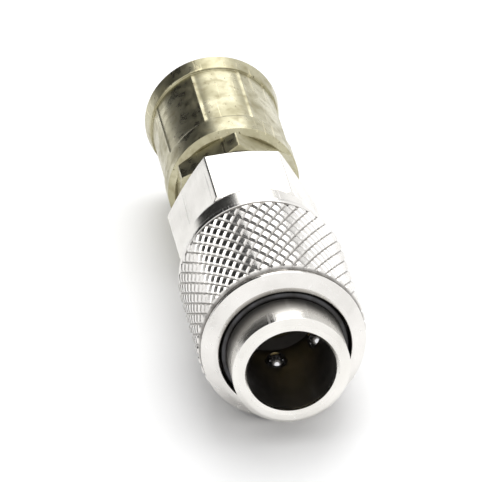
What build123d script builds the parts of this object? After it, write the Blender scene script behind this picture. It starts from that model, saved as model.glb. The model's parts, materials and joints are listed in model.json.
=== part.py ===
from build123d import *
import os
from math import cos, radians, sin, sqrt, tan

os.makedirs("parts", exist_ok=True)

# Ball-lock quick disconnect coupler for an air hose. All sizes are in millimetres.
# The coupler's axis is X. The origin is on that axis, in the front plane of the mouth,
# and the plug enters towards -X. Stations are X values, so they fall towards the hose.

# ---- Driving dimensions ----

# Clearances
running_clearance = 0.05
face_gap = 0.03
edge_break = 0.4

# Coupler body
bore_radius = 6.05
lead_in = 0.4
ball_relief_radius = 6.3
ball_relief_lead = 2.0
nose_radius = 8.0
nose_bevel = 0.7
body_radius = 8.25
body_thread_radius = 8.0
body_thread_relief = 0.6
body_thread_length = 2.9
body_rear_land = 0.6

# Locking balls and their holes
ball_count = 6
ball_radius = 1.6
ball_station = -14.0
ball_protrusion = 0.98
ball_clearance = 0.03
ball_hole_radius = 1.66
ball_hole_mouth_radius = 1.49

# Locking sleeve
sleeve_front = -6.0
sleeve_length = 22.5
sleeve_radius = 11.5
sleeve_rim_radius = 11.2
sleeve_face_radius = 9.7
sleeve_mouth_radius = 9.0
sleeve_lip_radius = 8.4
sleeve_lip_width = 0.8
sleeve_recess_radius = 9.45
sleeve_land_radius = 8.3
sleeve_land_length = 3.3
sleeve_bore_radius = 10.2
sleeve_travel = 4.0
sleeve_stop_gap = 0.4
ramp_angle = 14.5
knurl_margin_front = 2.6
knurl_margin_rear = 1.9
knurl_groove_width = 0.6
knurl_groove_depth = 0.5

# Retaining ring, bent from round wire
ring_wire_radius = 0.7
ring_groove_radius = 7.4
ring_gap_angle = 24

# Sleeve spring and its washer
washer_thickness = 0.6
washer_inner_radius = 8.4
washer_outer_radius = 10.0
sleeve_wire_radius = 0.45
sleeve_spring_radius = 9.2
sleeve_spring_turns = 4
sleeve_spring_length = 8.1

# Plug seal, in the narrower bore that the plug's tip enters
plug_collar_length = 4.1
tip_bore_radius = 5.1
seal_groove_depth_in_bore = 1.2
seal_groove_width = 2.2
seal_groove_radius = 6.75
seal_inner_radius = 4.85

# Air valve
seat_behind_seal = 1.6
seat_depth = 0.8
chamber_radius = 6.7
poppet_reach = 1.1
poppet_tip_radius = 4.95
poppet_groove_radius = 4.4
poppet_groove_width = 2.0
poppet_head_radius = 6.2
poppet_head_thickness = 1.5
poppet_cup_radius = 3.2
poppet_cup_depth = 2.6
poppet_slot_width = 2.4
poppet_slot_count = 4
poppet_boss_radius = 3.2
poppet_boss_length = 0.8
stem_radius = 1.8
stem_past_guide = 0.6
valve_wire_radius = 0.3
valve_spring_radius = 4.2
valve_spring_turns = 3.5
valve_spring_length = 6.5

# Spring guide
guide_thickness = 1.2
guide_hub_radius = 2.9
guide_hub_length = 2.0
guide_window_count = 4
guide_spoke_width = 1.8

# Rear adapter
adapter_collar_radius = 10.15
adapter_hex_length = 12.4
adapter_across_flats = 18.0
adapter_passage_radius = 5.2
adapter_passage_length = 1.4
pipe_thread_radius = 6.6
hex_chamfer = 0.7

# O-ring between body and adapter
body_seal_groove_width = 1.3
body_seal_groove_depth = 0.9

# Hose tail
tail_thread_radius = 6.55
tail_thread_gap = 0.4
tail_undercut_radius = 5.6
tail_undercut_length = 1.0
tail_washer_thickness = 1.2
tail_washer_radius = 8.4
tail_across_flats = 16.0
tail_hex_length = 4.4
tail_groove_radius = 5.8
tail_groove_width = 1.3
tail_shoulder_radius = 6.5
tail_shoulder_width = 0.8
tail_passage_radius = 3.4
tail_mouth_radius = 4.0
tail_mouth_depth = 5.0
barb_count = 5
barb_pitch = 2.9
barb_root_radius = 4.6
barb_crest_radius = 5.2
barb_crest_width = 0.4
stem_tip_length = 1.2

# Ferrule
ferrule_length = 21.3
ferrule_radius = 9.2
ferrule_inner_radius = 8.35
ferrule_flare = 0.35
ferrule_flare_length = 2.2
ferrule_lip_thickness = 1.0
crimp_count = 8
crimp_across_flats = 17.7
crimp_length = 14.0

# ---- Worked-out dimensions ----

# Balls, and the ramp that holds them in
ball_pitch_angle = 360 / ball_count
ball_rest_radius = bore_radius - ball_protrusion + ball_radius
ramp_slope = tan(radians(ramp_angle))
ball_lift = sleeve_travel * ramp_slope
ramp_radius_at_ball = ball_rest_radius + (ball_radius + ball_clearance) / cos(radians(ramp_angle))
ramp_rear = ball_station - (ramp_radius_at_ball - sleeve_land_radius) / ramp_slope
ramp_front = ramp_rear + (sleeve_recess_radius - sleeve_land_radius) / ramp_slope
ball_relief_front = ball_station + ball_relief_lead

# Retaining ring, and the sleeve's shoulder behind it
ring_front = sleeve_front - 2 * running_clearance
ring_rear = ring_front - 2 * ring_wire_radius
ring_radius = ring_groove_radius + face_gap + ring_wire_radius
sleeve_shoulder = ring_rear - face_gap
sleeve_lip_rear = sleeve_shoulder - sleeve_lip_width

# Sleeve
sleeve_rear = sleeve_front - sleeve_length
sleeve_bevel_rear = sleeve_front - (sleeve_rim_radius - sleeve_face_radius)
sleeve_land_rear = ramp_rear - sleeve_land_length
knurl_front = sleeve_front - knurl_margin_front
knurl_rear = sleeve_rear + knurl_margin_rear
knurl_groove_floor = sleeve_rim_radius - knurl_groove_depth

# Sleeve spring
washer_front = sleeve_land_rear - face_gap
washer_rear = washer_front - washer_thickness
sleeve_spring_front = washer_rear - face_gap
adapter_front = sleeve_spring_front - sleeve_spring_length

# Socket behind the balls
tip_bore_front = ball_station - plug_collar_length
seal_groove_front = tip_bore_front - seal_groove_depth_in_bore
seal_groove_rear = seal_groove_front - seal_groove_width
seat_front = seal_groove_rear - seat_behind_seal
seat_rear = seat_front - seat_depth
seat_radius = tip_bore_radius + seat_depth

# Joint between the body and the adapter
body_seal_front = adapter_front - body_thread_length
body_seal_rear = body_seal_front - body_seal_groove_width
body_rear = body_seal_rear - body_rear_land
body_male_radius = body_thread_radius - face_gap

# Valve
poppet_front = seat_front + poppet_reach
poppet_groove_front = seat_front - edge_break + face_gap
poppet_head_front = poppet_groove_front - poppet_groove_width
poppet_head_rear = poppet_head_front - poppet_head_thickness
guide_front = poppet_head_rear - valve_spring_length
guide_rear = guide_front - guide_thickness
guide_hub_rear = guide_front - guide_hub_length
stem_rear = guide_hub_rear - stem_past_guide

# Adapter
hex_to_corner = 2 / sqrt(3)
adapter_collar_rear = sleeve_rear - sleeve_travel - sleeve_stop_gap
adapter_rear = adapter_collar_rear - adapter_hex_length
adapter_corner_radius = adapter_across_flats / 2 * hex_to_corner
pipe_thread_front = guide_rear - adapter_passage_length

# Hose tail
tail_corner_radius = tail_across_flats / 2 * hex_to_corner
tail_front = pipe_thread_front - tail_thread_gap
tail_undercut_front = adapter_rear + tail_undercut_length
tail_hex_front = adapter_rear - tail_washer_thickness
tail_hex_rear = tail_hex_front - tail_hex_length
tail_groove_rear = tail_hex_rear - tail_groove_width
tail_shoulder_rear = tail_groove_rear - tail_shoulder_width
barb_front = tail_shoulder_rear - edge_break
barb_rear = barb_front - barb_count * barb_pitch
tail_rear = barb_rear - stem_tip_length

# Ferrule
ferrule_front = tail_hex_rear - face_gap
ferrule_rear = ferrule_front - ferrule_length
ferrule_flare_front = ferrule_rear + ferrule_flare_length
ferrule_lip_rear = ferrule_front - ferrule_lip_thickness
crimp_rear = ferrule_flare_front + edge_break

clear_radius = 2 * sleeve_radius


# ---- Shared operations ----


def turned(*corners):
    """A solid turned about the axis, from the (station, radius) corners of its half-section."""
    with BuildPart() as solid:
        with BuildSketch(Plane.XZ):
            with BuildLine():
                Polyline(*corners, close=True)
            make_face()
        revolve(axis=Axis.X)
    return solid.part


def outside_polygon(rear, length, across_flats, sides, rotation=0):
    """What is milled off a round bar to leave a prism with this many flats."""
    with BuildPart() as offcut:
        with BuildSketch(Plane.YZ.offset(rear)):
            Circle(clear_radius)
            RegularPolygon(
                across_flats / 2, sides, major_radius=False, rotation=rotation, mode=Mode.SUBTRACT
            )
        extrude(amount=length)
    return offcut.part


def coil(front, rear, radius, wire_radius, turns):
    """A round-wire spring that fills the space between two stations."""
    height = front - rear - 2 * wire_radius
    with BuildPart() as wire:
        with BuildLine() as path:
            Helix(
                pitch=height / turns,
                height=height,
                radius=radius,
                center=(rear + wire_radius, 0, 0),
                direction=(1, 0, 0),
            )
        with BuildSketch(Plane(origin=path.line @ 0, z_dir=path.line % 0)):
            Circle(wire_radius)
        sweep()
    return wire.part


def o_ring(station, radius, section_radius):
    """A round-section ring around the axis."""
    with BuildPart() as ring:
        with BuildSketch(Plane.XZ):
            with Locations((station, radius)):
                Circle(section_radius)
        revolve(axis=Axis.X)
    return ring.part


def ball_plane(index):
    """The plane through the axis whose normal points out along one ball's hole."""
    angle = radians(index * ball_pitch_angle)
    return Plane(origin=(ball_station, 0, 0), x_dir=(1, 0, 0), z_dir=(0, -sin(angle), cos(angle)))


def save(part, name):
    """Label a finished piece and write its file."""
    part.label = name
    export_step(part, f"parts/{name}.step")


# ---- Coupler body: nose, socket, ball holes, valve seat and rear thread ----

with BuildPart() as coupler_body:
    add(
        turned(
            (0, bore_radius + lead_in),
            (0, nose_radius - nose_bevel),
            (-nose_bevel, nose_radius),
            (ring_front + face_gap, nose_radius),
            (ring_front + face_gap, ring_groove_radius),
            (ring_rear - face_gap, ring_groove_radius),
            (ring_rear - face_gap, body_radius),
            (adapter_front + body_thread_relief, body_radius),
            (adapter_front + body_thread_relief, body_male_radius),
            (body_seal_front, body_male_radius),
            (body_seal_front, body_thread_radius - body_seal_groove_depth),
            (body_seal_rear, body_thread_radius - body_seal_groove_depth),
            (body_seal_rear, body_male_radius),
            (body_rear, body_male_radius),
            (body_rear, chamber_radius),
            (seat_rear, chamber_radius),
            (seat_rear, seat_radius),
            (seat_front, tip_bore_radius),
            (seal_groove_rear, tip_bore_radius),
            (seal_groove_rear, seal_groove_radius),
            (seal_groove_front, seal_groove_radius),
            (seal_groove_front, tip_bore_radius),
            (tip_bore_front, tip_bore_radius),
            (tip_bore_front + ball_relief_radius - tip_bore_radius, ball_relief_radius),
            (ball_relief_front, ball_relief_radius),
            (ball_relief_front, bore_radius),
            (-lead_in, bore_radius),
        )
    )
    # Each hole narrows towards the bore, so that its ball cannot fall in.
    for index in range(ball_count):
        with BuildSketch(ball_plane(index).offset(ball_relief_radius - edge_break)):
            Circle(ball_hole_mouth_radius)
        with BuildSketch(ball_plane(index).offset(ball_rest_radius)):
            Circle(ball_hole_radius)
        loft(mode=Mode.SUBTRACT)
        with BuildSketch(ball_plane(index).offset(ball_rest_radius)):
            Circle(ball_hole_radius)
        extrude(amount=ball_rest_radius, mode=Mode.SUBTRACT)
save(coupler_body.part, "coupler_body")

# ---- Locking balls ----

for index in range(ball_count):
    with BuildPart() as locking_ball:
        with Locations(ball_plane(index).offset(ball_rest_radius)):
            Sphere(ball_radius)
    save(locking_ball.part, f"locking_ball_{index + 1}")

# ---- Locking sleeve: front bevel, knurled band, ball ramp and spring chamber ----

with BuildPart() as locking_sleeve:
    add(
        turned(
            (sleeve_front, sleeve_mouth_radius),
            (sleeve_front, sleeve_face_radius),
            (sleeve_bevel_rear, sleeve_rim_radius),
            (knurl_front + knurl_groove_width, sleeve_rim_radius),
            (knurl_front + knurl_groove_width, knurl_groove_floor),
            (knurl_front, knurl_groove_floor),
            (knurl_front, sleeve_radius - edge_break),
            (knurl_front - edge_break, sleeve_radius),
            (knurl_rear + edge_break, sleeve_radius),
            (knurl_rear, sleeve_radius - edge_break),
            (knurl_rear, knurl_groove_floor),
            (knurl_rear - knurl_groove_width, knurl_groove_floor),
            (knurl_rear - knurl_groove_width, sleeve_rim_radius),
            (sleeve_rear + edge_break, sleeve_rim_radius),
            (sleeve_rear, sleeve_rim_radius - edge_break),
            (sleeve_rear, sleeve_bore_radius),
            (sleeve_land_rear, sleeve_bore_radius),
            (sleeve_land_rear, sleeve_land_radius),
            (ramp_rear, sleeve_land_radius),
            (ramp_front, sleeve_recess_radius),
            (sleeve_lip_rear, sleeve_recess_radius),
            (sleeve_lip_rear, sleeve_lip_radius),
            (sleeve_shoulder, sleeve_lip_radius),
            (sleeve_shoulder, sleeve_mouth_radius),
        )
    )
save(locking_sleeve.part, "locking_sleeve")

# ---- Sleeve retaining ring: a split wire ring, open at the bottom ----

with BuildPart() as sleeve_retaining_ring:
    ring_centre_plane = Plane(
        origin=((ring_front + ring_rear) / 2, 0, 0),
        x_dir=(0, sin(radians(ring_gap_angle / 2)), -cos(radians(ring_gap_angle / 2))),
        z_dir=(0, -cos(radians(ring_gap_angle / 2)), -sin(radians(ring_gap_angle / 2))),
    )
    with BuildSketch(ring_centre_plane):
        with Locations((ring_radius, 0)):
            Circle(ring_wire_radius)
    revolve(axis=Axis.X, revolution_arc=360 - ring_gap_angle)
save(sleeve_retaining_ring.part, "sleeve_retaining_ring")

# ---- Sleeve spring and the washer that the sleeve turns on ----

with BuildPart() as sleeve_spring_washer:
    add(
        turned(
            (washer_front, washer_inner_radius),
            (washer_front, washer_outer_radius),
            (washer_rear, washer_outer_radius),
            (washer_rear, washer_inner_radius),
        )
    )
save(sleeve_spring_washer.part, "sleeve_spring_washer")

with BuildPart() as sleeve_spring:
    add(
        coil(
            sleeve_spring_front,
            adapter_front + face_gap,
            sleeve_spring_radius,
            sleeve_wire_radius,
            sleeve_spring_turns,
        )
    )
save(sleeve_spring.part, "sleeve_spring")

# ---- Plug seal: a lipped ring in the socket's groove ----

with BuildPart() as plug_seal:
    add(
        turned(
            (seal_groove_front - face_gap, seal_groove_radius - face_gap),
            (seal_groove_front - face_gap, tip_bore_radius + edge_break),
            (seal_groove_front - seal_groove_width / 2, seal_inner_radius),
            (seal_groove_rear + edge_break, seal_inner_radius),
            (seal_groove_rear + face_gap, tip_bore_radius + edge_break),
            (seal_groove_rear + face_gap, seal_groove_radius - face_gap),
        )
    )
save(plug_seal.part, "plug_seal")

# ---- Valve poppet: crown that the plug pushes, seal groove, head and stem ----

with BuildPart() as valve_poppet:
    add(
        turned(
            (poppet_front, poppet_cup_radius),
            (poppet_front, poppet_tip_radius - edge_break),
            (poppet_front - edge_break, poppet_tip_radius),
            (poppet_groove_front, poppet_tip_radius),
            (poppet_groove_front, poppet_groove_radius),
            (poppet_head_front, poppet_groove_radius),
            (poppet_head_front, poppet_head_radius),
            (poppet_head_rear, poppet_head_radius),
            (poppet_head_rear, poppet_boss_radius),
            (poppet_head_rear - poppet_boss_length, poppet_boss_radius),
            (poppet_head_rear - poppet_boss_length, stem_radius),
            (stem_rear + edge_break, stem_radius),
            (stem_rear, stem_radius - edge_break),
            (stem_rear, 0),
            (poppet_front - poppet_cup_depth, 0),
            (poppet_front - poppet_cup_depth, poppet_cup_radius),
        )
    )
    # The crown's slots let the air into the plug.
    with BuildSketch(Plane.YZ.offset(seat_front)):
        with PolarLocations(0, poppet_slot_count // 2, angular_range=180):
            Rectangle(poppet_slot_width, clear_radius)
    extrude(amount=poppet_reach, mode=Mode.SUBTRACT)
save(valve_poppet.part, "valve_poppet")

# ---- Valve seal: its front cone meets the body's seat ----

with BuildPart() as valve_seal:
    add(
        turned(
            (seat_front - edge_break, poppet_groove_radius + face_gap),
            (seat_front - edge_break, tip_bore_radius + edge_break - 2 * face_gap),
            (seat_rear, seat_radius - 2 * face_gap),
            (poppet_head_front + face_gap, seat_radius - 2 * face_gap),
            (poppet_head_front + face_gap, poppet_groove_radius + face_gap),
        )
    )
save(valve_seal.part, "valve_seal")

# ---- Valve spring ----

with BuildPart() as valve_spring:
    add(
        coil(
            poppet_head_rear - face_gap,
            guide_front + face_gap,
            valve_spring_radius,
            valve_wire_radius,
            valve_spring_turns,
        )
    )
save(valve_spring.part, "valve_spring")

# ---- Valve spring guide: a plate with windows for the air and a hub for the stem ----

with BuildPart() as valve_spring_guide:
    add(
        turned(
            (guide_front, stem_radius + running_clearance),
            (guide_front, chamber_radius - running_clearance),
            (guide_rear, chamber_radius - running_clearance),
            (guide_rear, guide_hub_radius),
            (guide_hub_rear, guide_hub_radius),
            (guide_hub_rear, stem_radius + running_clearance),
        )
    )
    with BuildSketch(Plane.YZ.offset(guide_rear)):
        Circle(adapter_passage_radius - face_gap)
        Circle(guide_hub_radius + edge_break, mode=Mode.SUBTRACT)
        with PolarLocations(0, guide_window_count // 2, angular_range=180):
            Rectangle(guide_spoke_width, clear_radius, mode=Mode.SUBTRACT)
    extrude(amount=guide_thickness, mode=Mode.SUBTRACT)
save(valve_spring_guide.part, "valve_spring_guide")

# ---- Rear adapter: round collar under the sleeve, spanner hexagon and pipe thread ----

with BuildPart() as rear_adapter:
    add(
        turned(
            (adapter_front, body_thread_radius),
            (adapter_front, adapter_collar_radius - edge_break),
            (adapter_front - edge_break, adapter_collar_radius),
            (adapter_collar_rear + edge_break, adapter_collar_radius),
            (adapter_collar_rear, adapter_corner_radius - edge_break),
            (adapter_collar_rear - edge_break, adapter_corner_radius),
            (adapter_rear + hex_chamfer, adapter_corner_radius),
            (adapter_rear, adapter_corner_radius - 2 * hex_chamfer),
            (adapter_rear, pipe_thread_radius),
            (pipe_thread_front, pipe_thread_radius),
            (pipe_thread_front, adapter_passage_radius),
            (guide_rear, adapter_passage_radius),
            (guide_rear, chamber_radius),
            (body_rear - face_gap, chamber_radius),
            (body_rear - face_gap, body_thread_radius),
        )
    )
    add(
        outside_polygon(adapter_rear, adapter_hex_length, adapter_across_flats, 6),
        mode=Mode.SUBTRACT,
    )
save(rear_adapter.part, "rear_adapter")

# ---- O-ring between the body and the adapter ----

body_seal_section_radius = body_seal_groove_depth / 2 - face_gap
with BuildPart() as body_seal:
    add(
        o_ring(
            (body_seal_front + body_seal_rear) / 2,
            body_thread_radius - body_seal_groove_depth / 2,
            body_seal_section_radius,
        )
    )
save(body_seal.part, "body_seal")

# ---- Flat washer that seals the hose tail against the adapter ----

with BuildPart() as tail_washer:
    add(
        turned(
            (adapter_rear, tail_undercut_radius + 2 * running_clearance),
            (adapter_rear, tail_washer_radius),
            (tail_hex_front, tail_washer_radius),
            (tail_hex_front, tail_undercut_radius + 2 * running_clearance),
        )
    )
save(tail_washer.part, "tail_washer")

# ---- Hose tail: thread, hexagon, groove for the ferrule, and barbed stem ----

barb_corners = []
for index in range(barb_count):
    crest_station = barb_front - index * barb_pitch
    barb_corners.append((crest_station, barb_root_radius))
    barb_corners.append((crest_station, barb_crest_radius))
    barb_corners.append((crest_station - barb_crest_width, barb_crest_radius))

with BuildPart() as hose_tail:
    add(
        turned(
            (tail_front, tail_mouth_radius),
            (tail_front, tail_thread_radius - edge_break),
            (tail_front - edge_break, tail_thread_radius),
            (tail_undercut_front, tail_thread_radius),
            (tail_undercut_front, tail_undercut_radius),
            (tail_hex_front, tail_undercut_radius),
            (tail_hex_front, tail_corner_radius - 2 * edge_break),
            (tail_hex_front - edge_break, tail_corner_radius),
            (tail_hex_rear + edge_break, tail_corner_radius),
            (tail_hex_rear, tail_corner_radius - 2 * edge_break),
            (tail_hex_rear, tail_groove_radius),
            (tail_groove_rear, tail_groove_radius),
            (tail_groove_rear, tail_shoulder_radius),
            (tail_shoulder_rear, tail_shoulder_radius),
            (tail_shoulder_rear, barb_root_radius),
            *barb_corners,
            (barb_rear, barb_root_radius),
            (tail_rear, barb_root_radius - edge_break),
            (tail_rear, tail_passage_radius),
            (tail_front - tail_mouth_depth, tail_passage_radius),
            (tail_front - tail_mouth_depth, tail_mouth_radius),
        )
    )
    add(
        outside_polygon(tail_hex_rear, tail_hex_length, tail_across_flats, 6, rotation=30),
        mode=Mode.SUBTRACT,
    )
save(hose_tail.part, "hose_tail")

# ---- Hose ferrule: front lip in the tail's groove, crimped flats and flared rear ----

with BuildPart() as hose_ferrule:
    add(
        turned(
            (ferrule_front, tail_groove_radius + running_clearance),
            (ferrule_front, ferrule_radius - 2 * edge_break),
            (ferrule_front - 2 * edge_break, ferrule_radius),
            (ferrule_flare_front, ferrule_radius),
            (ferrule_rear, ferrule_radius + ferrule_flare),
            (ferrule_rear, ferrule_inner_radius + ferrule_flare),
            (ferrule_flare_front, ferrule_inner_radius),
            (ferrule_lip_rear, ferrule_inner_radius),
            (ferrule_lip_rear, tail_groove_radius + running_clearance),
        )
    )
    add(
        outside_polygon(crimp_rear, crimp_length, crimp_across_flats, crimp_count),
        mode=Mode.SUBTRACT,
    )
save(hose_ferrule.part, "hose_ferrule")

print(f"ball lift {ball_lift:.3f} mm over a sleeve travel of {sleeve_travel} mm, ratio {-ramp_slope:.5f}")
print(f"overall length {-ferrule_rear:.2f} mm")
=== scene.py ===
import json
from math import cos, pi, radians, sin

import bmesh
import bpy
import numpy as np
from mathutils import Matrix, Vector

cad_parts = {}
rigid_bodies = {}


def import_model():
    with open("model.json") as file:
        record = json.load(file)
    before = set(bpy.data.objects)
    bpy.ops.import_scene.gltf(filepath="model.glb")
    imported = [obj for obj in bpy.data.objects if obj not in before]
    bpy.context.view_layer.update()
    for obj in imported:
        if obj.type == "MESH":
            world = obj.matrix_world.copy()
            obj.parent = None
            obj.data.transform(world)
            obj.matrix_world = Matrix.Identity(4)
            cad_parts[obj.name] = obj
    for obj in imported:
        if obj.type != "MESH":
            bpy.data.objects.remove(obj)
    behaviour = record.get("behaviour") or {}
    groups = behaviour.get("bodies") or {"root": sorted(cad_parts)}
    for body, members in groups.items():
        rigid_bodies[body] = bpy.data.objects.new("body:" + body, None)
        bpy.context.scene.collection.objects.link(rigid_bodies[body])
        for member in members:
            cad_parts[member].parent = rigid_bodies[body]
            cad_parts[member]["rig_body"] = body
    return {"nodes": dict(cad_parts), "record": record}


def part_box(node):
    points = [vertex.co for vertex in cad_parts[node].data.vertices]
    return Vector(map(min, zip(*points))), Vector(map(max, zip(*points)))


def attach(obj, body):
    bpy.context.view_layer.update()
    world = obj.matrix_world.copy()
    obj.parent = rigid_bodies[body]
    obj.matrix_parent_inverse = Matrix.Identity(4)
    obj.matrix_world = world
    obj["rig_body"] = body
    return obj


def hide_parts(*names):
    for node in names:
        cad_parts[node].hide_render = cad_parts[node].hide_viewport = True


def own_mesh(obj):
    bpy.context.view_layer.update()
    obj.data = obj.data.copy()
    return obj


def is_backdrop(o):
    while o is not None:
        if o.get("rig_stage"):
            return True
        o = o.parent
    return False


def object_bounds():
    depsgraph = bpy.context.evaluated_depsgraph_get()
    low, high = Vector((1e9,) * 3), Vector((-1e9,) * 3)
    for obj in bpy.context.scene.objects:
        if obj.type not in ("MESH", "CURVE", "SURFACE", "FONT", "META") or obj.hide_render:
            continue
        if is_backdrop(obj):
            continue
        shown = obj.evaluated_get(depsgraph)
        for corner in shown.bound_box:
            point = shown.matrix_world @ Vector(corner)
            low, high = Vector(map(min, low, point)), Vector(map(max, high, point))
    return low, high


# The looks of a ball-lock quick disconnect coupler. The coupler's axis is X, its mouth faces +X,
# and stations are X values. An angle runs round the axis from straight up. Lengths are in metres.

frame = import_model()
cad_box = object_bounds()

mm = 0.001
full_turn = 2 * pi

# ---- Driving dimensions ----

# Shape tools
weld = 0.001 * mm
straight_turn = radians(1.5)
corner_turn = radians(20)
sharp_turn = radians(32)
corner_steps = 4
corner_share = 0.4
round_samples = 192

# How far each piece's corners are eased
body_easing = 0.14 * mm
sleeve_easing = 0.16 * mm
adapter_easing = 0.15 * mm
tail_easing = 0.14 * mm
ferrule_easing = 0.2 * mm
poppet_easing = 0.12 * mm
plate_easing = 0.1 * mm
plug_seal_easing = 0.2 * mm
valve_seal_easing = 0.12 * mm

# Sleeve's knurl
knurl_count = 44
knurl_samples = 10
knurl_slope = 1.7
knurl_groove_share = 0.18
knurl_depth = 0.28 * mm

# Prisms with flats
hex_sides = 6
hex_samples = 36
hex_flat_share = 0.75
hex_flat_tilt = 0.2
crimp_samples = 30
hex_sharpness = 170
crimp_sharpness = 90
chamfer_step = 0.12 * mm

# Ferrule's crimp
crimp_count = 8
crimp_across_flats = 17.7 * mm
crimp_length = 14.0 * mm
crimp_margin = 2.6 * mm
crimp_fade = 0.9 * mm
crimp_step = 0.2 * mm
crimp_skin = 1.2 * mm
crimp_ridge_height = 0.12 * mm
crimp_ridge_angle = radians(1.6)

# Balls, poppet and guide
ball_hole_clearance = 0.06 * mm
ball_hole_mouth_radius = 1.49 * mm
ball_hole_mouth_depth = 0.4 * mm
ball_hole_samples = 64
ball_samples = 48
poppet_slot_width = 2.4 * mm
poppet_slot_depth = 1.1 * mm
guide_window_inner = 3.3 * mm
guide_window_outer = 5.17 * mm
guide_spoke_width = 1.8 * mm
window_outer_points = 13
window_inner_points = 7
side_count = 4

# Wire pieces
wire_sides = 20
spring_steps_per_turn = 48
closed_turns = 0.8
sleeve_spring_turns = 5.5
valve_spring_turns = 5.0
ring_gap = radians(24)
ring_steps = 139

# Camera, set as the photograph's
camera_azimuth = radians(81.2)
camera_elevation = radians(29.5)
camera_distance = 1.15
camera_view_height = 0.066
camera_sensor = 36.0
image_aspect = 502 / 482

# Floor
floor_gap = 0.02 * mm
floor_reach = 6.0
floor_lines = 9

# Surround
world_strength = 1.12
dark_patch_direction = (-0.84, -0.46, 0.16)
dark_patch_outer = radians(58)
dark_patch_inner = radians(36)
dark_patch_brightness = 0.02

# ---- Outlines ----


def half_section(node, turn=0.0):
    """The (station, radius) corners where a half-plane through the axis cuts a CAD node."""
    cut = bmesh.new()
    cut.from_mesh(frame["nodes"][node].data)
    bmesh.ops.remove_doubles(cut, verts=cut.verts, dist=weld)
    bmesh.ops.rotate(cut, verts=cut.verts, cent=(0, 0, 0), matrix=Matrix.Rotation(-turn, 3, "X"))
    for facing, clear in (((0, 0, 1), False), ((0, 1, 0), True)):
        everything = list(cut.verts) + list(cut.edges) + list(cut.faces)
        bmesh.ops.bisect_plane(
            cut, geom=everything, dist=weld / 10, plane_no=facing, clear_inner=clear, clear_outer=clear
        )
    lower = [vert for vert in cut.verts if vert.co.z < -weld]
    bmesh.ops.delete(cut, geom=lower, context="VERTS")
    bmesh.ops.remove_doubles(cut, verts=cut.verts, dist=weld)
    start = next((vert for vert in cut.verts if len(vert.link_edges) == 1), cut.verts[:][0])
    chain = [start]
    edge = start.link_edges[0]
    while edge is not None:
        vert = edge.other_vert(chain[-1])
        if vert is start:
            break
        chain.append(vert)
        edge = next((other for other in vert.link_edges if other is not edge), None)
    points = np.array([(vert.co.x, vert.co.z) for vert in chain])
    cut.free()
    closed = points[:, 1].min() > weld
    return straightened(points, closed), closed


def turn_at(points):
    """How much the outline turns at each of its points, taken as a closed loop."""
    before = points - np.roll(points, 1, axis=0)
    after = np.roll(points, -1, axis=0) - points
    cross = before[:, 0] * after[:, 1] - before[:, 1] * after[:, 0]
    dot = (before * after).sum(axis=1)
    return np.abs(np.arctan2(cross, dot))


def straightened(points, closed):
    """The outline without the points that lie on a straight run."""
    keep = turn_at(points) > straight_turn
    if not closed:
        keep[[0, -1]] = True
    return points[keep]


def eased(points, closed, radius):
    """The outline with each corner turned into a short arc of about this radius."""
    turns = turn_at(points)
    count = len(points)
    outline = []
    for index, point in enumerate(points):
        at_end = not closed and index in (0, count - 1)
        if at_end or turns[index] < corner_turn:
            outline.append(point)
            continue
        back = points[index - 1] - point
        onward = points[(index + 1) % count] - point
        reach = radius * np.tan(turns[index] / 2)
        reach = min(reach, corner_share * np.linalg.norm(back), corner_share * np.linalg.norm(onward))
        first = point + back / np.linalg.norm(back) * reach
        last = point + onward / np.linalg.norm(onward) * reach
        for step in range(corner_steps + 1):
            share = step / corner_steps
            outline.append((1 - share) ** 2 * first + 2 * share * (1 - share) * point + share**2 * last)
    return np.array(outline)


def divided(points, closed, low, high, longest):
    """The outline with its outer runs between two stations divided into short steps."""
    middle = (points[:, 1].min() + points[:, 1].max()) / 2
    outline = []
    ends = len(points) if closed else len(points) - 1
    for index in range(len(points)):
        point = points[index]
        outline.append(point)
        if index >= ends:
            continue
        onward = points[(index + 1) % len(points)]
        outer = min(point[1], onward[1]) > middle
        within = min(point[0], onward[0]) > low - weld and max(point[0], onward[0]) < high + weld
        if not outer or not within:
            continue
        steps = int(np.ceil(np.linalg.norm(onward - point) / longest))
        for step in range(1, steps):
            outline.append(point + (onward - point) * step / steps)
    return np.array(outline)


# ---- Meshes ----


def even_angles(count):
    """Angles spaced evenly round the axis."""
    return np.arange(count) * full_turn / count


def side_angles(sides, per_side, turn=0.0):
    """Angles round a prism, closer together towards its corners. The first flat's middle is at turn."""
    share = np.linspace(-1, 1, per_side, endpoint=False)
    half = pi / sides
    one_side = half * np.sin(share * pi / 2)
    return np.concatenate([turn + 2 * half * side + one_side for side in range(sides)])


def as_object(name, points, faces):
    """A mesh object from points and faces, with its normals facing out."""
    mesh = bpy.data.meshes.new(name)
    mesh.from_pydata(points, [], faces)
    built = bmesh.new()
    built.from_mesh(mesh)
    bmesh.ops.remove_doubles(built, verts=built.verts, dist=weld / 10)
    bmesh.ops.dissolve_degenerate(built, edges=built.edges, dist=weld / 10)
    bmesh.ops.recalc_face_normals(built, faces=built.faces)
    built.to_mesh(mesh)
    built.free()
    obj = bpy.data.objects.new(name, mesh)
    bpy.context.scene.collection.objects.link(obj)
    return obj


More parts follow.
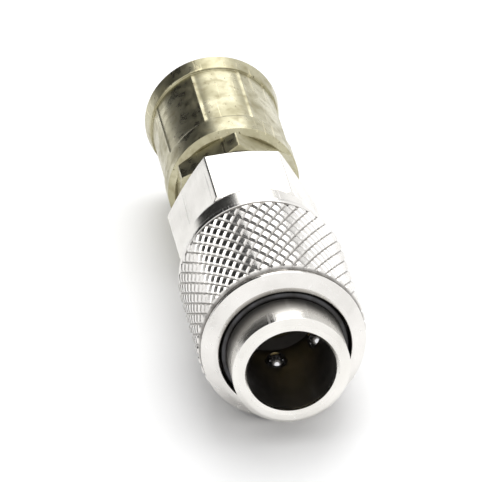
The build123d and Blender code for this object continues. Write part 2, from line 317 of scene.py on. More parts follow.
def turned(name, outline, closed, angles, shape=None, split=None):
    """A piece turned about the axis. shape moves points in or out, and split says how to halve a cell."""
    rows = len(outline)
    columns = len(angles)
    stations = np.repeat(outline[:, :1], columns, axis=1)
    radii = np.repeat(outline[:, 1:], columns, axis=1)
    around = np.repeat(angles[None, :], rows, axis=0)
    if shape is not None:
        radii = shape(stations, around, radii)
    points = np.stack([stations, -radii * np.sin(around), radii * np.cos(around)], axis=-1)
    faces = []
    for row in range(rows if closed else rows - 1):
        onward = (row + 1) % rows
        for column in range(columns):
            beside = (column + 1) % columns
            here = row * columns + column
            right = row * columns + beside
            above = onward * columns + column
            across = onward * columns + beside
            way = None
            if split is not None:
                way = split(stations[row, column], stations[onward, column], angles[column])
            if way is None:
                faces.append((here, right, across, above))
            elif way:
                faces.extend([(here, right, across), (here, across, above)])
            else:
                faces.extend([(here, right, above), (right, across, above)])
    return as_object(name, points.reshape(-1, 3), faces)


def swept_wire(name, path, radius):
    """A round wire along a path of points, with closed ends."""
    ahead = np.gradient(path, axis=0)
    ahead /= np.linalg.norm(ahead, axis=1)[:, None]
    axis = np.array([1.0, 0.0, 0.0])
    out = path - path[:, :1] * axis
    out /= np.linalg.norm(out, axis=1)[:, None]
    aside = np.cross(ahead, out)
    aside /= np.linalg.norm(aside, axis=1)[:, None]
    out = np.cross(aside, ahead)
    angles = even_angles(wire_sides)
    outward = np.cos(angles)[None, :, None] * out[:, None, :]
    sideways = np.sin(angles)[None, :, None] * aside[:, None, :]
    rings = path[:, None, :] + radius * (outward + sideways)
    count = len(path)
    faces = []
    for row in range(count - 1):
        for side in range(wire_sides):
            beside = (side + 1) % wire_sides
            here = row * wire_sides
            above = here + wire_sides
            faces.append((here + side, here + beside, above + beside, above + side))
    faces.append(tuple(range(wire_sides)))
    faces.append(tuple((count - 1) * wire_sides + side for side in range(wire_sides)))
    return as_object(name, rings.reshape(-1, 3), faces)


def coil_path(node, wire_radius, turns):
    """The centre line of a compression spring that fills a CAD node's box, with its end turns closed."""
    low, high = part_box(node)
    radius = high.y - wire_radius
    steps = int(turns * spring_steps_per_turn)
    turn = np.linspace(0, turns, steps + 1)
    from_end = np.minimum(turn, turns - turn)
    opening = np.clip((from_end - closed_turns / 2) / closed_turns, 0, 1)
    opening = opening**2 * (3 - 2 * opening)
    travel = high.x - low.x - 2 * wire_radius
    closed_rise = 2 * wire_radius
    spread = (travel - closed_rise * turns) / (opening[1:].sum() * turns / steps)
    rise = (closed_rise + spread * opening[1:]) * turns / steps
    stations = low.x + wire_radius + np.concatenate([[0], np.cumsum(rise)])
    around = turn * full_turn
    return np.stack([stations, -radius * np.sin(around), radius * np.cos(around)], axis=-1)


def cut_out(obj, cutters):
    """Takes the cutters' shapes out of a piece."""
    for cutter in cutters:
        difference = obj.modifiers.new("cut", "BOOLEAN")
        difference.operation = "DIFFERENCE"
        difference.solver = "EXACT"
        difference.object = cutter
    evaluated = obj.evaluated_get(bpy.context.evaluated_depsgraph_get())
    mesh = bpy.data.meshes.new_from_object(evaluated)
    obj.modifiers.clear()
    obj.data = mesh
    for cutter in cutters:
        bpy.data.objects.remove(cutter)


def block(name, corners, low, high):
    """A prism along the axis between two stations, from its (y, z) corners."""
    count = len(corners)
    points = [(station, y, z) for station in (low, high) for y, z in corners]
    faces = [tuple(range(count)), tuple(range(count, 2 * count))]
    for index in range(count):
        beside = (index + 1) % count
        faces.append((index, beside, count + beside, count + index))
    return as_object(name, points, faces)


def finished(obj, node, slot, *materials):
    """The piece stands for its CAD node: it rides on the node's body and is smooth but for its edges."""
    obj.data.materials.clear()
    for material in materials:
        obj.data.materials.append(material)
    obj.data.shade_smooth()
    obj.data.set_sharp_from_angle(angle=sharp_turn)
    weighted = obj.modifiers.new("weighted_normals", "WEIGHTED_NORMAL")
    weighted.keep_sharp = True
    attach(obj, frame["nodes"][node]["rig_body"])
    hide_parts(node)
    return obj


def turned_node(node, easing, slot, material, turn=0.0):
    """A plain turned piece: the CAD node's own outline with its corners eased."""
    corners, closed = half_section(node, turn)
    outline = eased(corners, closed, easing)
    obj = turned(f"{node}_piece", outline, closed, even_angles(round_samples))
    return finished(obj, node, slot, material)


def prism_limit(angle, apothem, sides, sharpness, turn=0.0):
    """The radius of a prism with slightly rounded corners."""
    total = 0
    for side in range(sides):
        facing = np.cos(angle - turn - side * full_turn / sides)
        total = total + np.clip(facing, 0, None) ** sharpness
    return apothem / total ** (1 / sharpness)


def soft_min(first, second, sharpness):
    """The smaller of two radii, blended where they are nearly equal."""
    return second / (1 + (second / first) ** sharpness) ** (1 / sharpness)


# ---- Materials ----

# Colours, as linear red, green, blue and alpha
nickel = (0.85, 0.83, 0.79, 1.0)
dull_nickel = (0.76, 0.74, 0.70, 1.0)
drawn_nickel = (0.84, 0.82, 0.78, 1.0)
dull_drawn_nickel = (0.74, 0.72, 0.68, 1.0)
handled_nickel = (0.84, 0.82, 0.79, 1.0)
dull_handled_nickel = (0.73, 0.71, 0.68, 1.0)
scratched_nickel = (0.9, 0.89, 0.87, 1.0)
# Painted shade and dirt on the plate
shade_and_grime_steel = (0.11, 0.10, 0.09, 1.0)
olive_brass = (0.52, 0.49, 0.34, 1.0)
tarnished_brass = (0.30, 0.275, 0.165, 1.0)
stained_brass = (0.22, 0.18, 0.09, 1.0)
spotted_brass = (0.10, 0.075, 0.04, 1.0)
scratched_brass = (0.86, 0.78, 0.52, 1.0)
# Painted shade in the brass's corners
brass_crevice_shade = (0.09, 0.07, 0.035, 1.0)
yellow_brass = (0.78, 0.64, 0.34, 1.0)
dull_yellow_brass = (0.62, 0.50, 0.25, 1.0)
bright_wire = (0.50, 0.50, 0.51, 1.0)
dull_wire = (0.36, 0.35, 0.35, 1.0)
black_wire = (0.075, 0.075, 0.08, 1.0)
worn_black_wire = (0.04, 0.038, 0.036, 1.0)
# Painted shade in the wire's corners
wire_crevice_shade = (0.08, 0.075, 0.07, 1.0)
bright_ball = (0.76, 0.77, 0.79, 1.0)
dull_ball = (0.66, 0.66, 0.67, 1.0)
dusty_rubber = (0.035, 0.035, 0.037, 1.0)
black_rubber = (0.014, 0.014, 0.015, 1.0)
dusty_plastic = (0.10, 0.10, 0.105, 1.0)
black_plastic = (0.05, 0.05, 0.055, 1.0)
floor_grey = (0.90, 0.90, 0.90, 1.0)
floor_pale = (0.93, 0.93, 0.93, 1.0)

# Sizes of the marks, in marks per metre
plate_clouds = 160.0
plate_patches = 900.0
plate_fine_marks = 5200.0
plate_coarse_marks = 900.0
brass_clouds = 220.0
brass_patches = 700.0
brass_spots = 1150.0
brass_fine_marks = 4300.0
wire_clouds = 500.0
wire_streaks = 9000.0

# Depths and widths of marks, of dirt and of painted shade
plate_bump = 0.0035 * mm
brass_bump = 0.005 * mm
wire_bump = 0.003 * mm
ball_bump = 0.001 * mm
moulded_bump = 0.01 * mm
plate_shade_reach = 1.6 * mm
brass_shade_reach = 1.8 * mm
wire_shade_reach = 1.0 * mm
bore_shade_fade = 0.5 * mm
bore_shade_margin = 0.7 * mm
nose_shade_near = 1.5 * mm
nose_shade_far = 4.0 * mm
unshaded_crest_share = 0.3


class Finish:
    """One material's nodes, with short calls for the ones that this scene uses."""

    def __init__(self, name, metallic):
        self.material = bpy.data.materials.new(name)
        self.material.use_nodes = True
        self.tree = self.material.node_tree
        self.shader = self.tree.nodes["Principled BSDF"]
        self.shader.inputs["Metallic"].default_value = metallic
        coordinates = self.tree.nodes.new("ShaderNodeTexCoord")
        self.place = coordinates.outputs["Object"]
        parts = self.node("ShaderNodeSeparateXYZ", {0: self.place})
        self.station = parts.outputs[0]
        square = self.math("ADD", self.power(parts.outputs[1], 2), self.power(parts.outputs[2], 2))
        self.radius = self.math("SQRT", square)

    def node(self, kind, inputs, **settings):
        """A node with its settings, whose inputs are linked to sockets or set to values."""
        made = self.tree.nodes.new(kind)
        for name, value in settings.items():
            setattr(made, name, value)
        for key, value in inputs.items():
            if isinstance(value, bpy.types.NodeSocket):
                self.tree.links.new(value, made.inputs[key])
            else:
                made.inputs[key].default_value = value
        return made

    def math(self, operation, first, second=0.0):
        return self.node("ShaderNodeMath", {0: first, 1: second}, operation=operation).outputs[0]

    def power(self, value, exponent):
        magnitude = self.math("ABSOLUTE", value)
        return self.math("POWER", magnitude, exponent)

    def span(self, value, low, high, to_low=0.0, to_high=1.0):
        """value, stretched from low..high to to_low..to_high and held there."""
        inputs = {"Value": value, "From Min": low, "From Max": high, "To Min": to_low, "To Max": to_high}
        return self.node("ShaderNodeMapRange", inputs).outputs[0]

    def noise(self, vector, scale, detail=3.0):
        inputs = {"Vector": vector, "Scale": scale, "Detail": detail}
        return self.node("ShaderNodeTexNoise", inputs).outputs[0]

    def stretched(self, scale, turn=(0.0, 0.0, 0.0)):
        """The object's coordinates, turned and scaled differently along each axis."""
        mapping = self.node("ShaderNodeMapping", {"Vector": self.place, "Rotation": turn, "Scale": scale})
        return mapping.outputs[0]

    def blend(self, share, first, second):
        """A colour between two others."""
        mix = self.node("ShaderNodeMix", {}, data_type="RGBA")
        for index, value in ((0, share), (6, first), (7, second)):
            if isinstance(value, bpy.types.NodeSocket):
                self.tree.links.new(value, mix.inputs[index])
            else:
                mix.inputs[index].default_value = value
        return mix.outputs[2]

    def rings(self, scale):
        """Fine marks that run round the axis, on cylinders and on faces alike."""
        vector = self.node("ShaderNodeCombineXYZ", {0: self.station, 1: self.radius}).outputs[0]
        return self.noise(vector, scale, 2.0)

    def lines(self, along, across):
        """Fine marks that run along the axis, with this many to the metre each way."""
        return self.noise(self.stretched((along, across, across)), 1.0, 2.0)

    def scratches(self, turn, scale, share):
        """Thin straight scratches: 1 on a scratch and 0 between them."""
        lines = self.noise(self.stretched((60.0, 1500.0, 1500.0), turn), scale, 1.0)
        return self.span(lines, share, share + 0.06)

    def crevice(self, distance):
        """1 deep in a corner or a hole, and 0 in the open."""
        inputs = {"Distance": distance}
        open_share = self.node("ShaderNodeAmbientOcclusion", inputs, samples=6).outputs["AO"]
        return self.math("SUBTRACT", 1.0, open_share)

    def finish(self, colour, roughness, height, depth):
        """Links the colour, the roughness and a bump of this depth, and returns the material."""
        self.tree.links.new(colour, self.shader.inputs["Base Color"])
        self.tree.links.new(roughness, self.shader.inputs["Roughness"])
        bump = self.node("ShaderNodeBump", {"Height": height, "Distance": depth, "Strength": 1.0})
        self.tree.links.new(bump.outputs[0], self.shader.inputs["Normal"])
        return self.material


def plated(name, clean, dull, smooth, rough, marks, groove_shading=None, socket_shade=None):
    """Nickel plate over steel.

    marks is "turned" for rings round the axis or "drawn" for lines along it. The colour carries painted
    shade, darker in corners and holes and uneven in patches. groove_shading is the radii between which
    the painted shade and dirt in a knurl's grooves thin out. socket_shade is the station and the radius
    where a socket's dark film of painted shade, fainter on its nose, ends.
    """
    metal = Finish(name, 1.0)
    cloud = metal.noise(metal.place, plate_clouds)
    patches = metal.noise(metal.place, plate_patches, 4.0)
    if marks == "turned":
        fine = metal.rings(plate_fine_marks)
        coarse = metal.rings(plate_coarse_marks)
    else:
        fine = metal.lines(150.0, plate_fine_marks)
        coarse = metal.lines(40.0, plate_coarse_marks)
    first = metal.scratches((0.3, 0.5, 0.2), 1.0, 0.66)
    second = metal.scratches((1.1, -0.4, 0.9), 1.3, 0.68)
    scratched = metal.math("MAXIMUM", first, second)
    # Painted shade: the colour darkens in corners and holes by how closed in they are, unevenly in
    # patches.
    crevice = metal.crevice(plate_shade_reach)
    shade_and_dirt = metal.math("MULTIPLY", crevice, metal.span(patches, 0.3, 0.7, 0.7, 1.2))
    shade_and_dirt = metal.span(shade_and_dirt, 0.35, 0.95)
    if groove_shading is not None:
        low, high = groove_shading
        # Painted shade in the knurl's grooves, darkest at their bottoms, with dirt packed there too.
        groove_shade_and_dirt = metal.span(metal.radius, low, high, 0.85, 0.0)
        groove_shade_and_dirt = metal.math("MULTIPLY", groove_shade_and_dirt, metal.span(patches, 0.25, 0.75, 0.55, 1.1))
        shade_and_dirt = metal.math("MAXIMUM", shade_and_dirt, groove_shade_and_dirt)
    if socket_shade is not None:
        edge, wall = socket_shade
        # Painted shade: a dark film in the socket's bore and, fainter, on the nose outside it, given as
        # an oil film.
        painted_bore_shade = metal.span(metal.station, edge - bore_shade_fade, edge, 1.0, 0.0)
        outside = metal.span(metal.station, edge - nose_shade_far, edge - nose_shade_near, 0.85, 0.3)
        strength = metal.span(metal.radius, wall, wall + bore_shade_fade, 0.88, outside)
        painted_bore_shade = metal.math("MULTIPLY", painted_bore_shade, strength)
        painted_bore_shade = metal.math("MULTIPLY", painted_bore_shade, metal.span(cloud, 0.3, 0.7, 0.92, 1.06))
        shade_and_dirt = metal.math("MAXIMUM", shade_and_dirt, painted_bore_shade)
    colour = metal.blend(metal.span(cloud, 0.35, 0.7), clean, dull)
    colour = metal.blend(metal.math("MULTIPLY", scratched, 0.35), colour, scratched_nickel)
    # The painted shade and the dirt darken the plate towards this colour.
    colour = metal.blend(shade_and_dirt, colour, shade_and_grime_steel)
    wear = metal.math("ADD", cloud, metal.math("MULTIPLY", fine, 0.5))
    roughness = metal.span(wear, 0.5, 1.0, smooth, rough)
    roughness = metal.math("ADD", roughness, metal.math("MULTIPLY", shade_and_dirt, 0.25))
    roughness = metal.math("ADD", roughness, metal.math("MULTIPLY", scratched, 0.12))
    height = metal.math("ADD", fine, metal.math("MULTIPLY", coarse, 1.2))
    height = metal.math("SUBTRACT", height, metal.math("MULTIPLY", scratched, 0.8))
    return metal.finish(colour, roughness, height, plate_bump)


def brass(name, clean, tarnish, marks):
    """Brass with tarnish in patches, small dark marks and painted shade in its corners."""
    metal = Finish(name, 1.0)
    cloud = metal.noise(metal.place, brass_clouds, 4.0)
    patches = metal.noise(metal.place, brass_patches, 5.0)
    spots = metal.noise(metal.stretched((1.0, 1.6, 1.6), (0.4, 0.2, 0.1)), brass_spots, 2.0)
    if marks == "turned":
        fine = metal.rings(brass_fine_marks)
    else:
        fine = metal.lines(150.0, brass_fine_marks)
    scratched = metal.scratches((0.7, 0.2, 0.5), 1.1, 0.66)
    crevice = metal.crevice(brass_shade_reach)
    colour = metal.blend(metal.span(cloud, 0.34, 0.78), clean, tarnish)
    colour = metal.blend(metal.span(patches, 0.5, 0.78, 0.0, 0.6), colour, stained_brass)
    colour = metal.blend(metal.span(spots, 0.68, 0.74, 0.0, 0.8), colour, spotted_brass)
    colour = metal.blend(metal.math("MULTIPLY", scratched, 0.4), colour, scratched_brass)
    # Painted shade: darker in corners, by how closed in they are.
    colour = metal.blend(metal.span(crevice, 0.3, 0.9), colour, brass_crevice_shade)
    roughness = metal.span(metal.math("ADD", cloud, patches), 0.8, 1.25, 0.24, 0.46)
    roughness = metal.math("SUBTRACT", roughness, metal.math("MULTIPLY", scratched, 0.1))
    height = metal.math("ADD", fine, metal.math("MULTIPLY", patches, 1.5))
    height = metal.math("SUBTRACT", height, metal.math("MULTIPLY", scratched, 0.8))
    return metal.finish(colour, roughness, height, brass_bump)


def spring_wire(name, clean, dull):
    """Drawn spring wire, with lengthwise drawing streaks and painted shade in its corners."""
    metal = Finish(name, 1.0)
    cloud = metal.noise(metal.place, wire_clouds, 3.0)
    streaks = metal.rings(wire_streaks)
    crevice = metal.crevice(wire_shade_reach)
    colour = metal.blend(metal.span(cloud, 0.35, 0.7), clean, dull)
    # Painted shade: darker in the wire's corners, by how closed in they are.
    colour = metal.blend(metal.span(crevice, 0.3, 0.9), colour, wire_crevice_shade)
    roughness = metal.span(streaks, 0.3, 0.7, 0.25, 0.42)
    return metal.finish(colour, roughness, streaks, wire_bump)


def polished_steel(name):
    """Bearing-ball steel: nearly a mirror, with faint scuffs from the plugs."""
    metal = Finish(name, 1.0)
    cloud = metal.noise(metal.place, 900.0, 3.0)
    scuffs = metal.lines(400.0, 6000.0)
    colour = metal.blend(metal.span(cloud, 0.3, 0.7), bright_ball, dull_ball)
    roughness = metal.span(scuffs, 0.45, 0.75, 0.06, 0.22)
    return metal.finish(colour, roughness, scuffs, ball_bump)


def moulded(name, light, dark, smooth, rough, grain):
    """Rubber or plastic with a fine grain and a dusty bloom."""
    skin = Finish(name, 0.0)
    cloud = skin.noise(skin.place, 400.0, 4.0)
    fine = skin.noise(skin.place, grain, 3.0)
    colour = skin.blend(skin.span(cloud, 0.35, 0.7), dark, light)
    roughness = skin.span(fine, 0.3, 0.7, smooth, rough)
    return skin.finish(colour, roughness, fine, moulded_bump)


knurl_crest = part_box("locking_sleeve")[1].y
# The knurl's painted shade and dirt fill its grooves and thin out towards the crests
groove_shade_radii = (knurl_crest - knurl_depth, knurl_crest - unshaded_crest_share * knurl_depth)
socket = next(mount for mount in frame["record"]["mounts"] if mount["name"] == "plug_bore")
# Where the painted shade in the socket ends
bore_shade_edge = (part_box("coupler_body")[1].x - bore_shade_margin, socket["dims"]["r_mm"] * mm + bore_shade_margin)
body_plate = plated(
    "plated_body", nickel, dull_nickel, smooth=0.12, rough=0.26, marks="turned", socket_shade=bore_shade_edge
)
adapter_plate = plated("plated_adapter", nickel, dull_nickel, smooth=0.14, rough=0.28, marks="turned")
hex_plate = plated(
    "plated_hexagon", drawn_nickel, dull_drawn_nickel, smooth=0.16, rough=0.30, marks="drawn"
)
sleeve_plate = plated(
    "plated_sleeve", handled_nickel, dull_handled_nickel, smooth=0.12, rough=0.26, marks="turned"
)
knurl_plate = plated(
    "plated_knurl",
    handled_nickel,
    dull_handled_nickel,
    smooth=0.14,
    rough=0.28,
    marks="turned",
    groove_shading=groove_shade_radii,
)
turned_brass = brass("fitting_brass", olive_brass, tarnished_brass, marks="turned")
drawn_brass = brass("fitting_brass_flats", olive_brass, tarnished_brass, marks="drawn")
valve_brass = brass("valve_brass", yellow_brass, dull_yellow_brass, marks="turned")
wire_steel = spring_wire("spring_steel", bright_wire, dull_wire)
black_steel = spring_wire("blackened_steel", black_wire, worn_black_wire)
ball_steel = polished_steel("ball_steel")
seal_rubber = moulded("seal_rubber", dusty_rubber, black_rubber, smooth=0.42, rough=0.62, grain=6000.0)
washer_plastic = moulded(
    "washer_plastic", dusty_plastic, black_plastic, smooth=0.45, rough=0.6, grain=4000.0
)

# ---- Coupler body: nose, socket and the holes for the balls ----

ball_names = sorted(name for name in frame["nodes"] if name.startswith("locking_ball"))
ball_low, ball_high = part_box(ball_names[0])
ball_radius = (ball_high.x - ball_low.x) / 2
ball_station = (ball_high.x + ball_low.x) / 2
ball_offset = (ball_high.z + ball_low.z) / 2
hole_radius = ball_radius + ball_hole_clearance


def ball_turn(index):
    """The turn that takes +X to the outward direction of one ball's hole, at the balls' station."""
    outward = Matrix.Rotation(index * full_turn / len(ball_names), 4, "X")
    return Matrix.Translation((ball_station, 0, 0)) @ outward @ Matrix.Rotation(-pi / 2, 4, "Y")


def ball_hole(index, bore_radius):
    """A cutter for one ball's hole, which narrows towards the bore so that the ball cannot fall in."""
    inner = bore_radius - ball_hole_mouth_depth
    outline = [
        (inner, 0),
        (inner, ball_hole_mouth_radius),
        (ball_offset, hole_radius),
        (2 * ball_offset, hole_radius),
        (2 * ball_offset, 0),
    ]
    cutter = turned("ball_hole", np.array(outline), False, even_angles(ball_hole_samples))
    cutter.data.transform(ball_turn(index))
    return cutter


def coupler_body():
    between_balls = pi / len(ball_names)
    corners, closed = half_section("coupler_body", between_balls)
    bore_ends = corners[np.abs(corners[:, 0] - ball_station) < 2 * ball_radius]
    bore_radius = bore_ends[:, 1].max()
    outline = eased(corners, closed, body_easing)
    obj = turned("coupler_body_piece", outline, closed, even_angles(round_samples))
    cut_out(obj, [ball_hole(index, bore_radius) for index in range(len(ball_names))])
    return finished(obj, "coupler_body", "plated_body", body_plate)


def locking_balls():
    for index, name in enumerate(ball_names):
        around = np.linspace(0, pi, ball_samples // 2 + 1)
        heights = ball_offset - ball_radius * np.cos(around)
        outline = np.stack([heights, ball_radius * np.sin(around)], axis=-1)
        obj = turned(f"{name}_piece", outline, False, even_angles(ball_samples))
        obj.data.transform(ball_turn(index))
        finished(obj, name, "ball_steel", ball_steel)


# ---- Locking sleeve: a diamond knurl between two plain rims ----


def eased_outside_band(points, closed, low, high):
    """The outline with its corners eased, but for those of the knurled band."""
    crest = points[:, 1].max()
    on_band = (points[:, 1] > crest - weld) & (points[:, 0] > low - weld) & (points[:, 0] < high + weld)
    first = int(np.argmax(on_band & ~np.roll(on_band, 1)))
    points = np.roll(points, -first, axis=0)
    length = int(on_band.sum())
    rest = eased(np.concatenate([points[length - 1 :], points[:1]]), False, sleeve_easing)
    return np.concatenate([points[: length - 1], rest[:-1]])


def locking_sleeve():
    corners, closed = half_section("locking_sleeve")
    crest = corners[:, 1].max()
    band = np.sort(corners[corners[:, 1] > crest - weld][:, 0])
    low, high = band[0], band[-1]
    floor = crest - 2 * knurl_depth
    beside = corners[(corners[:, 1] > floor) & (corners[:, 1] < crest - weld)]
    low_end = beside[beside[:, 0] < low][:, 0].max()
    high_end = beside[beside[:, 0] > high][:, 0].min()
    lattice = full_turn * crest / knurl_count * knurl_slope / knurl_samples
    rows = int((high - low) / lattice)

    outline = []
    for point, following in zip(corners, np.roll(corners, -1, axis=0)):
        outline.append(point)
        if min(point[1], following[1]) > crest - weld:
            forward = 1 if following[0] > point[0] else -1
            start = (low + high) / 2 - forward * lattice * rows / 2
            outline.extend((start + forward * lattice * row, crest) for row in range(rows + 1))
    outline = eased_outside_band(np.array(outline), closed, low, high)
    middle = (low + high) / 2

    def lanes(station, angle):
        """How far a point is along each of the two families of grooves, in grooves."""
        along = (station - middle + lattice * rows / 2) / (lattice * knurl_samples)
        around = angle * knurl_count / full_turn
        return around + along, around - along

    def knurl(station, angle, radius):
        rising, falling = lanes(station, angle)
        nearest = np.minimum(np.abs(rising - np.round(rising)), np.abs(falling - np.round(falling)))
        groove = np.clip(1 - nearest / knurl_groove_share, 0, 1)
        inside = (station > low_end + weld) & (station < high_end - weld)
        return np.where(inside, np.minimum(radius, crest - knurl_depth * groove), radius)

    half_column = pi / (knurl_count * knurl_samples)

    def diagonal(station, onward, angle):
        """Which way a cell of the knurl is split, so that its edge follows the nearer groove."""
        if min(station, onward) < low - weld or max(station, onward) > high + weld:
            return None
        if abs(station - onward) > 2 * lattice:
            return None
        rising, falling = lanes((station + onward) / 2, angle + half_column)
        on_rising = abs(rising - round(rising)) < abs(falling - round(falling))
        return on_rising != (onward > station)

    columns = even_angles(knurl_count * knurl_samples)
    obj = turned("locking_sleeve_piece", outline, closed, columns, knurl, diagonal)
    finished(obj, "locking_sleeve", "plated_sleeve", sleeve_plate, knurl_plate)
    for face in obj.data.polygons:
        outer = (face.center.y**2 + face.center.z**2) ** 0.5 > floor
        if outer and low_end < face.center.x < high_end:
            face.material_index = 1
    return obj


# ---- Rear adapter and hose tail: turned bars with six flats ----


def hexagon_piece(node, easing, across_flats, low, high, turn, slot, *materials):
    """A turned piece whose stretch between two stations has six flats."""
    corners, closed = half_section(node, turn + pi / hex_sides)
    edge = 2 * weld
    outline = []
    for point in eased(corners, closed, easing):
        at_step = abs(point[0] - high) < edge or abs(point[0] - low) < edge
        outline.append(point)
        if at_step:
            inward = -1 if abs(point[0] - high) < edge else 1
            outline.append((point[0] + inward * 2 * edge, point[1]))
    outline = divided(np.array(outline), closed, low, high, chamfer_step)

    def flats(station, angle, radius):
        limit = prism_limit(angle, across_flats / 2, hex_sides, hex_sharpness, turn)
        inside = (station > low - edge) & (station < high - edge)
        return np.where(inside, soft_min(radius, limit, hex_sharpness), radius)

    obj = turned(f"{node}_piece", outline, closed, side_angles(hex_sides, hex_samples, turn), flats)
    finished(obj, node, slot, *materials)
    for face in obj.data.polygons:
        outer = (face.center.y**2 + face.center.z**2) ** 0.5 > hex_flat_share * across_flats / 2
        if outer and abs(face.normal.x) < hex_flat_tilt and low < face.center.x < high:
            face.material_index = 1
    return obj


def rear_adapter():
    low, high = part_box("rear_adapter")
    flat = next(mount for mount in frame["record"]["mounts"] if mount["name"] == "spanner_flat_top")
    across_flats = 2 * flat["pos_m"][2]
    hexagon_front = 2 * flat["pos_m"][0] - low.x
    return hexagon_piece(
        "rear_adapter",
        adapter_easing,
        across_flats,
        low.x,
        hexagon_front,
        0.0,
        "plated_body",
        adapter_plate,
        hex_plate,
    )


def hose_tail():
    hexagon_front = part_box("tail_washer")[0].x
    hexagon_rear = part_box("hose_ferrule")[1].x
    across_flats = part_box("hose_tail")[1].y * 2
    return hexagon_piece(
        "hose_tail",
        tail_easing,
        across_flats,
        hexagon_rear,
        hexagon_front,
        pi / hex_sides,
        "fitting_brass",
        turned_brass,
        drawn_brass,
    )


# ---- Ferrule: eight pressed flats, with a thin ridge where the crimping dies met ----


def hose_ferrule():
    corners, closed = half_section("hose_ferrule", pi / crimp_count)
    low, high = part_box("hose_ferrule")
    rear = low.x + crimp_margin
    front = rear + crimp_length
    outline = eased(corners, closed, ferrule_easing)
    outline = divided(outline, closed, rear - crimp_fade, high.x, crimp_step)

    def crimp(station, angle, radius):
        limit = prism_limit(angle, crimp_across_flats / 2, crimp_count, crimp_sharpness)
        pressed = soft_min(radius, limit, crimp_sharpness)
        rising = np.clip((station - rear + crimp_fade / 2) / crimp_fade, 0, 1)
        falling = np.clip((front + crimp_fade / 2 - station) / crimp_fade, 0, 1)
        share = np.minimum(rising, falling)
        share = share**2 * (3 - 2 * share)
        from_corner = np.abs((angle * crimp_count / full_turn) % 1 - 0.5) * full_turn / crimp_count
        ridge = crimp_ridge_height * np.exp(-((from_corner / crimp_ridge_angle) ** 2))
        outer = radius > limit - crimp_skin
        return np.where(outer, radius + share * (pressed + ridge - radius), radius)

    obj = turned("hose_ferrule_piece", outline, closed, side_angles(crimp_count, crimp_samples), crimp)
    return finished(obj, "hose_ferrule", "fitting_brass", turned_brass)


# ---- Valve: slotted poppet and the plate with windows behind its spring ----


def valve_poppet():
    corners, closed = half_section("valve_poppet", pi / side_count)
    outline = eased(corners, closed, poppet_easing)
    obj = turned("valve_poppet_piece", outline, closed, even_angles(round_samples))
    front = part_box("valve_poppet")[1].x
    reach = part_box("valve_poppet")[1].z * 1.5
    half = poppet_slot_width / 2
    bars = [
        [(-half, -reach), (half, -reach), (half, reach), (-half, reach)],
        [(-reach, -half), (reach, -half), (reach, half), (-reach, half)],
    ]
    low, high = front - poppet_slot_depth, front + poppet_slot_depth
    cut_out(obj, [block("slot", bar, low, high) for bar in bars])
    return finished(obj, "valve_poppet", "valve_brass", valve_brass)


def guide_window(index, low, high):
    """A cutter for one window of the spring guide, between two spokes."""
    middle = (index + 0.5) * full_turn / side_count
    corners = []
    outer_side = (guide_window_outer, window_outer_points)
    inner_side = (guide_window_inner, window_inner_points)
    for radius, steps in (outer_side, inner_side):
        half = pi / side_count - np.arcsin(guide_spoke_width / 2 / radius)
        sweep = np.linspace(-half, half, steps)
        if corners:
            sweep = sweep[::-1]
        corners.extend((radius * sin(middle + turn), radius * cos(middle + turn)) for turn in sweep)
    return block("window", corners, low, high)


def valve_spring_guide():
    corners, closed = half_section("valve_spring_guide")
    outline = eased(corners, closed, plate_easing)
    obj = turned("valve_spring_guide_piece", outline, closed, even_angles(round_samples))
    low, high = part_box("valve_spring_guide")
    cut_out(obj, [guide_window(index, low.x - mm, high.x + mm) for index in range(side_count)])
    return finished(obj, "valve_spring_guide", "valve_brass", valve_brass)


# ---- Springs and the split ring ----


def wire_radius_of(node):
    """Half the wire's thickness: how far a coil's outside is from its inside, seen along the axis."""
    points = np.array([vert.co for vert in frame["nodes"][node].data.vertices])
    radii = np.hypot(points[:, 1], points[:, 2])
    return (radii.max() - radii.min()) / 2


def spring(node, turns):
    wire_radius = wire_radius_of(node)
    obj = swept_wire(f"{node}_piece", coil_path(node, wire_radius, turns), wire_radius)
    finished(obj, node, "spring_steel", wire_steel)
    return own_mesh(obj)


def sleeve_retaining_ring():
    node = "sleeve_retaining_ring"
    low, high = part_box(node)
    wire_radius = (high.x - low.x) / 2
    radius = high.z - wire_radius
    around = pi + np.linspace(ring_gap / 2, full_turn - ring_gap / 2, ring_steps + 1)
    station = np.full(len(around), (low.x + high.x) / 2)
    path = np.stack([station, -radius * np.sin(around), radius * np.cos(around)], axis=-1)
    obj = swept_wire(f"{node}_piece", path, wire_radius)
    return finished(obj, node, "blackened_steel", black_steel)


coupler_body()
locking_balls()
locking_sleeve()
rear_adapter()
hose_tail()
hose_ferrule()
valve_poppet()
valve_spring_guide()
spring("sleeve_spring", sleeve_spring_turns)
spring("valve_spring", valve_spring_turns)
sleeve_retaining_ring()
turned_node("sleeve_spring_washer", plate_easing, "spring_steel", wire_steel)
turned_node("plug_seal", plug_seal_easing, "seal_rubber", seal_rubber)
turned_node("valve_seal", valve_seal_easing, "seal_rubber", seal_rubber)
turned_node("body_seal", plate_easing, "seal_rubber", seal_rubber)
turned_node("tail_washer", plate_easing, "washer_plastic", washer_plastic)

# ---- Floor, light and camera ----


def floor_finish():
    skin = Finish("floor_paint", 0.0)
    cloud = skin.noise(skin.place, 3.0, 3.0)
    grain = skin.noise(skin.place, 900.0, 3.0)
    colour = skin.blend(cloud, floor_grey, floor_pale)
    return skin.finish(colour, skin.span(grain, 0.3, 0.7, 0.5, 0.62), grain, 0.02 * mm)


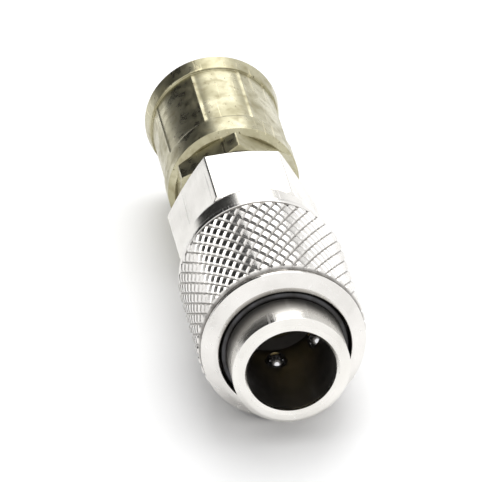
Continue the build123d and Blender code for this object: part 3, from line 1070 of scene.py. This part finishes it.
def floor():
    """A wide plain floor that the coupler's sleeve rests on."""
    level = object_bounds()[0].z - floor_gap
    columns = np.linspace(-floor_reach, floor_reach, floor_lines)
    points = [(x, y, level) for x in columns for y in columns]
    count = len(columns)
    faces = []
    for row in range(count - 1):
        for column in range(count - 1):
            here = row * count + column
            faces.append((here, here + count, here + count + 1, here + 1))
    obj = as_object("floor", points, faces)
    obj.data.materials.append(floor_finish())
    obj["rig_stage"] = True


def soft_light(name, toward, distance, size, power):
    """A square soft light that shines on the coupler from one direction."""
    lamp = bpy.data.lights.new(name, "AREA")
    lamp.energy = power
    lamp.shape = "SQUARE"
    lamp.size = size
    obj = bpy.data.objects.new(name, lamp)
    bpy.context.scene.collection.objects.link(obj)
    direction = Vector(toward).normalized()
    obj.location = middle + direction * distance
    obj.rotation_mode = "QUATERNION"
    obj.rotation_quaternion = direction.to_track_quat("Z", "Y")


def studio_world():
    """A bright surround with one dark patch low at the back left, as from dark goods standing there."""
    world = bpy.data.worlds.new("studio")
    world.use_nodes = True
    bpy.context.scene.world = world
    tree = world.node_tree
    background = tree.nodes["Background"]
    coordinates = tree.nodes.new("ShaderNodeTexCoord")
    toward = tree.nodes.new("ShaderNodeVectorMath")
    toward.operation = "DOT_PRODUCT"
    toward.inputs[1].default_value = Vector(dark_patch_direction).normalized()
    tree.links.new(coordinates.outputs["Generated"], toward.inputs[0])
    shade = tree.nodes.new("ShaderNodeMapRange")
    shade.interpolation_type = "SMOOTHSTEP"
    shade.inputs["From Min"].default_value = cos(dark_patch_outer)
    shade.inputs["From Max"].default_value = cos(dark_patch_inner)
    shade.inputs["To Min"].default_value = 1.0
    shade.inputs["To Max"].default_value = dark_patch_brightness
    tree.links.new(toward.outputs["Value"], shade.inputs["Value"])
    tree.links.new(shade.outputs[0], background.inputs["Color"])
    background.inputs["Strength"].default_value = world_strength


def camera():
    """The camera, from the photograph's direction through a long lens."""
    back = Vector(
        (
            sin(camera_azimuth) * cos(camera_elevation),
            -cos(camera_azimuth) * cos(camera_elevation),
            sin(camera_elevation),
        )
    )
    lens = bpy.data.cameras.new("camera")
    lens.sensor_width = camera_sensor
    lens.lens = camera_sensor * camera_distance / (camera_view_height * image_aspect)
    lens.clip_start = camera_distance / 20
    lens.clip_end = camera_distance * 10
    obj = bpy.data.objects.new("camera", lens)
    bpy.context.scene.collection.objects.link(obj)
    obj.location = middle + back * camera_distance
    obj.rotation_mode = "QUATERNION"
    obj.rotation_quaternion = back.to_track_quat("Z", "Y")
    bpy.context.scene.camera = obj


middle = (cad_box[0] + cad_box[1]) / 2
floor()
soft_light("key_light", toward=(-0.5, 0.12, 1.2), distance=0.8, size=0.6, power=2.4)
soft_light("back_light", toward=(-0.95, 0.1, 0.55), distance=0.75, size=0.35, power=0.9)
studio_world()
camera()
bpy.context.scene.view_settings.view_transform = "Standard"
